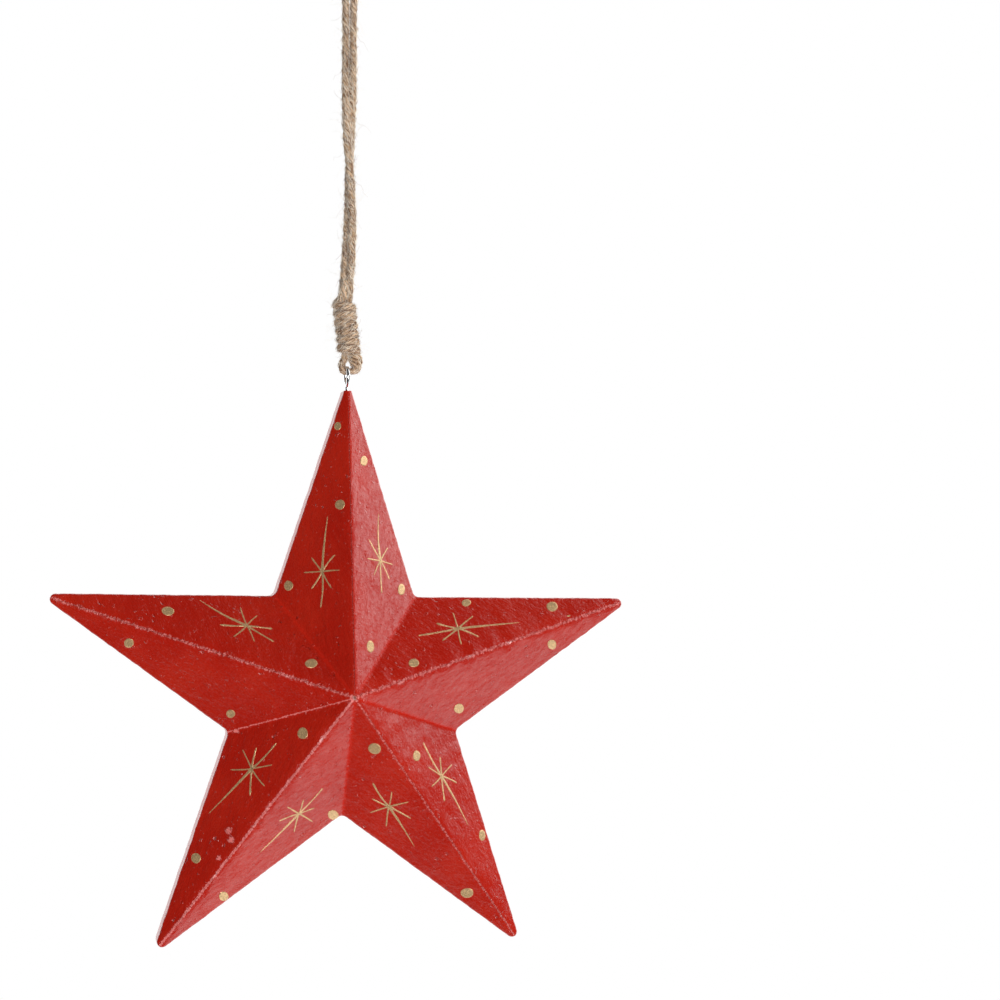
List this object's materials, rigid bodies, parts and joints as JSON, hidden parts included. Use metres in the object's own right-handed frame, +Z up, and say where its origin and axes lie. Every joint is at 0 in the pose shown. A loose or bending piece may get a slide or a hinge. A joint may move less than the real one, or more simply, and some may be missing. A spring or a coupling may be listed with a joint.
{
  "type": "star ornament",
  "caption": "Hanging folk ornament: a faceted five-pointed star of red painted wood with gold dots and bursts, on a bound jute twine loop.",
  "frame": {"origin": "where a hook carries the loop, on the inside of the loop's top", "axes": "+Z up along the loop, -Y out of the star's faceted front, +X to the right as the front is looked at"},
  "size_m": [0.1974, 0.0359, 0.3549],
  "materials": {
    "red_painted_wood": "hand-painted gloss red with gold marks over light solid wood",
    "bright_wire": "bright plated wire",
    "jute_twine": "natural jute, loosely twisted, with stray fibres"
  },
  "bodies": {
    "loop": {"hanging_loop": "jute_twine"},
    "bound_twine": {"binding": "jute_twine", "bound_strands": "jute_twine"},
    "bend": {"eye_bight": "jute_twine"},
    "star": {"screw_eye": "bright_wire", "top_arm": "red_painted_wood", "right_arm": "red_painted_wood", "lower_right_arm": "red_painted_wood", "lower_left_arm": "red_painted_wood", "left_arm": "red_painted_wood"}
  },
  "joints": [
    {"name": "cord_twist", "type": "hinge", "parent": "loop", "child": "bound_twine", "pos_m": [0, 0, -0.133], "axis": [0, 0, 1], "range_deg": [-180, 180]},
    {"name": "eye_rock", "type": "hinge", "parent": "bound_twine", "child": "bend", "pos_m": [0.00081, 0, -0.15202], "axis": [0, 1, 0], "range_deg": [-12, 12]},
    {"name": "eye_swing", "type": "hinge", "parent": "bend", "child": "star", "pos_m": [0, 0, -0.15812], "axis": [1, 0, 0], "range_deg": [-75, 75]}
  ]
}
